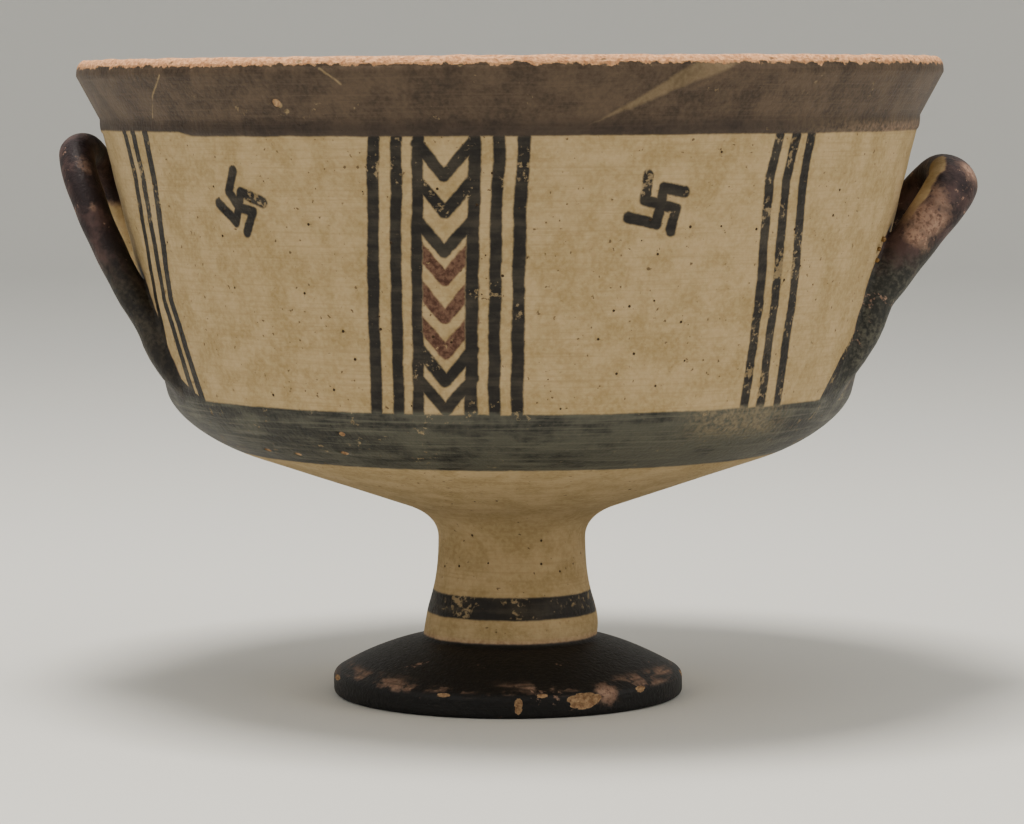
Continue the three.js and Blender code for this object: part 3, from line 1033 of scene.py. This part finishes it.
mend = most(half_plane(MEND_TIP, MEND_UPPER), times(half_plane(MEND_TIP, MEND_LOWER), -1.0))
mend = times(edge(calc(paint, "ADD", mend, minus(not_front, 0.4)), 0.5), brown_zone)
scratches = least(*(painted(brushed, *scratch) for scratch in RIM_SCRATCHES))
scratches = edge(calc(paint, "ADD", scratches, not_front), 0.2)
root_worn = times(
    ramp(side_x, 58.0, 102.0), ramp(true_height, 148.2, 145.4), brown_zone, ramp(fine, 0.2, 0.7)
)
slip_left = dark
for loss, share in (
    (worn, 0.62),
    (worn_and_highlit_all, 0.8),
    (foot_streaks, 0.6),
    (band_rub, 0.33),
    (reserved, 0.95),
    (mend, 0.30),
    (scratches, 0.6),
    (root_worn, 0.5),
    (most(chip, lip), 1.0),
    (beneath, 1.0),
):
    slip_left = times(slip_left, scaled(loss, -share, 1.0))
bare = most(chip, lip, beneath)

# Colours, as reflectances
mottle = ramp(fine, 0.3, 0.7)
specks = ramp(grain(paint, point, 0.8, 2.0, 0.5), 0.69, 0.75)
cream = tint(ramp(tone, 0.36, 0.64), (0.365, 0.270, 0.140), (0.468, 0.353, 0.208))
cream = tint(times(mottle, 0.45), cream, (0.54, 0.43, 0.27))
cream = tint(times(ramp(lines, 0.45, 0.75), 0.4), cream, (0.34, 0.25, 0.13))
cream = tint(times(specks, 0.8), cream, (0.14, 0.095, 0.055))
clay = tint(mottle, (0.42, 0.225, 0.125), (0.72, 0.445, 0.270))
clay = tint(lip, clay, tint(mottle, (0.48, 0.25, 0.135), (0.80, 0.47, 0.27)))
clay = tint(chip, clay, tint(mottle, (0.27, 0.165, 0.095), (0.52, 0.36, 0.22)))
streaks = scaled(tone, 0.5, times(broad_lines, 0.5))
black = tint(ramp(streaks, 0.42, 0.66), (0.022, 0.019, 0.017), (0.066, 0.056, 0.042))
# The keel's band turns to olive towards the right.
to_right = minus(ramp(wide, -70.0, 45.0, False), ramp(wide, 62.0, 86.0))
to_right = scaled(to_right, 0.15, streaks)
olive = tint(ramp(to_right, 0.47, 0.64), (0.024, 0.025, 0.023), (0.094, 0.093, 0.073))
olive = tint(times(ramp(lines, 0.49, 0.66), 0.5), olive, (0.160, 0.156, 0.118))
olive = tint(times(mottle, 0.28), olive, (0.155, 0.142, 0.108))
brown = tint(ramp(tone, 0.36, 0.64), (0.053, 0.036, 0.026), (0.112, 0.078, 0.053))
brown = tint(times(mottle, 0.35), brown, (0.185, 0.135, 0.092))
brown = tint(times(ramp(lines, 0.48, 0.72), 0.4), brown, (0.150, 0.108, 0.075))
# Painted shade: the foot of the rim band is darkened towards near black, as the shade under the flared lip and
# the shadow at the ledge.
rim_foot_painted_shade = times(ramp(height, 149.6, 145.8), 0.5)
brown = tint(rim_foot_painted_shade, brown, (0.034, 0.026, 0.024))
purple = tint(ramp(tone, 0.42, 0.64), (0.030, 0.020, 0.022), (0.098, 0.060, 0.055))
low_strand = ramp(scaled(tone, 24.0, height), 132.0, 118.0)
purple = tint(low_strand, purple, tint(right_side, black, olive))
dark_slip = tint(foot_zone, black, (0.018, 0.017, 0.017))
for zone, slip in ((brown_zone, brown), (band_zone, olive), (handle_zone, purple), (inside, brown)):
    dark_slip = tint(zone, dark_slip, slip)
red_slip = tint(mottle, (0.092, 0.046, 0.034), (0.215, 0.128, 0.088))
# Where slip has worn off the handles, the foot and the rim's foot, the clay below is pinkish.
pinkish = times(most(handle_zone, foot_zone, root_worn), minus(1.0, most(reserved, bare)))
pink_clay = tint(mottle, (0.33, 0.20, 0.145), (0.54, 0.37, 0.275))
red_left = times(red, scaled(worn, -0.8, 1.0))
colour = cream
for zone, finish_here in (
    (bare, clay),
    (pinkish, pink_clay),
    (red_left, red_slip),
    (slip_left, dark_slip),
    (pit, (0.10, 0.068, 0.042)),
    (glue_bead, (0.22, 0.13, 0.05)),
):
    colour = tint(zone, colour, finish_here)
plug(paint, colour, surface.inputs["Base Color"])

# Gloss and relief
rough = either(slip_left, 0.86, scaled(fine, 0.3, 0.36))
plug(paint, minus(rough, times(glue_bead, 0.72)), surface.inputs["Roughness"])
broken = most(ramp(true_height, 160.2, 161.2), chip)
relief = times(fine, scaled(broken, 0.55, 0.28))
relief = scaled(specks, -0.12, scaled(lines, 0.12, relief))
bump = node_in(paint, "ShaderNodeBump")
bump.inputs["Distance"].default_value = MM
plug(paint, relief, bump.inputs["Height"])
plug(paint, bump.outputs[0], surface.inputs["Normal"])
surface.inputs["Specular IOR Level"].default_value = 0.35

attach(cup, "root")
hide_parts("kylix")

# The plain setting
# A round pale floor that curves up into a plain backdrop all the way round, the camera where the photograph
# was taken from, and soft studio lights: one from above for the lip, and one from each side in front.
FLOOR_RADIUS, SWEEP_RADIUS, SWEEP_TOP, SWEEP_SIDES = 2.3, 0.9, 1.5, 96
# A hair below the foot, so that the two flat faces don't fall in one plane.
BELOW = 0.05 * MM
bend = [
    (FLOOR_RADIUS + SWEEP_RADIUS * math.sin(turn), SWEEP_RADIUS * (1 - math.cos(turn)) - BELOW)
    for turn in np.linspace(0, math.pi / 2, 24)
]
rows = [(0.5, -BELOW)] + bend + [(FLOOR_RADIUS + SWEEP_RADIUS, SWEEP_TOP)]
work = bmesh.new()
rings = []
for distance, rise_here in rows:
    turns = [2 * math.pi * k / SWEEP_SIDES for k in range(SWEEP_SIDES)]
    ring = [work.verts.new((distance * math.cos(t), distance * math.sin(t), rise_here)) for t in turns]
    rings.append(ring)
work.faces.new(rings[0])
for lower, upper in zip(rings, rings[1:]):
    for k in range(SWEEP_SIDES):
        after = (k + 1) % SWEEP_SIDES
        work.faces.new((lower[k], upper[k], upper[after], lower[after]))
sweep_mesh = bpy.data.meshes.new("pale_floor")
work.to_mesh(sweep_mesh)
work.free()
sweep_mesh.polygons.foreach_set("use_smooth", [True] * len(sweep_mesh.polygons))
pale_paper = bpy.data.materials.new("Pale paper")
pale_paper.use_nodes = True
pale_paper.node_tree.nodes["Principled BSDF"].inputs["Base Color"].default_value = (0.68, 0.68, 0.65, 1)
pale_paper.node_tree.nodes["Principled BSDF"].inputs["Roughness"].default_value = 0.9
sweep_mesh.materials.append(pale_paper)
floor = bpy.data.objects.new("pale_floor", sweep_mesh)
bpy.context.scene.collection.objects.link(floor)

camera = bpy.data.objects.new("camera", bpy.data.cameras.new("camera"))
camera.data.lens = 132.7
camera.data.clip_start = 0.02
camera.location = (0.0006, -0.966, 0.1542)
camera.rotation_euler = (math.radians(90 - 4.847), 0, 0)
bpy.context.scene.collection.objects.link(camera)
bpy.context.scene.camera = camera


def soft_light(name, place, aim_at, power, size, colour):
    """A square soft light that faces a point."""
    light = bpy.data.objects.new(name, bpy.data.lights.new(name, "AREA"))
    light.location = place
    light.rotation_euler = (Vector(place) - Vector(aim_at)).to_track_quat("Z", "Y").to_euler()
    light.data.energy, light.data.size, light.data.color = power, size, colour
    bpy.context.scene.collection.objects.link(light)


soft_light("light_above", (-0.10, -0.12, 1.25), (0, 0, 0.1), 13.0, 0.35, (1.0, 0.95, 0.88))
soft_light("light_left", (-0.80, -0.80, 0.60), (0, 0, 0.1), 1.6, 0.6, (1.0, 0.96, 0.90))
soft_light("light_right", (1.05, -0.45, 0.55), (0, 0, 0.1), 2.6, 0.6, (1.0, 0.95, 0.88))
world = bpy.data.worlds.new("Soft room")
world.use_nodes = True
world.node_tree.nodes["Background"].inputs["Color"].default_value = (1.0, 0.98, 0.95, 1)
world.node_tree.nodes["Background"].inputs["Strength"].default_value = 0.62
bpy.context.scene.world = world
bpy.context.scene.view_settings.look = "AgX - Medium High Contrast"
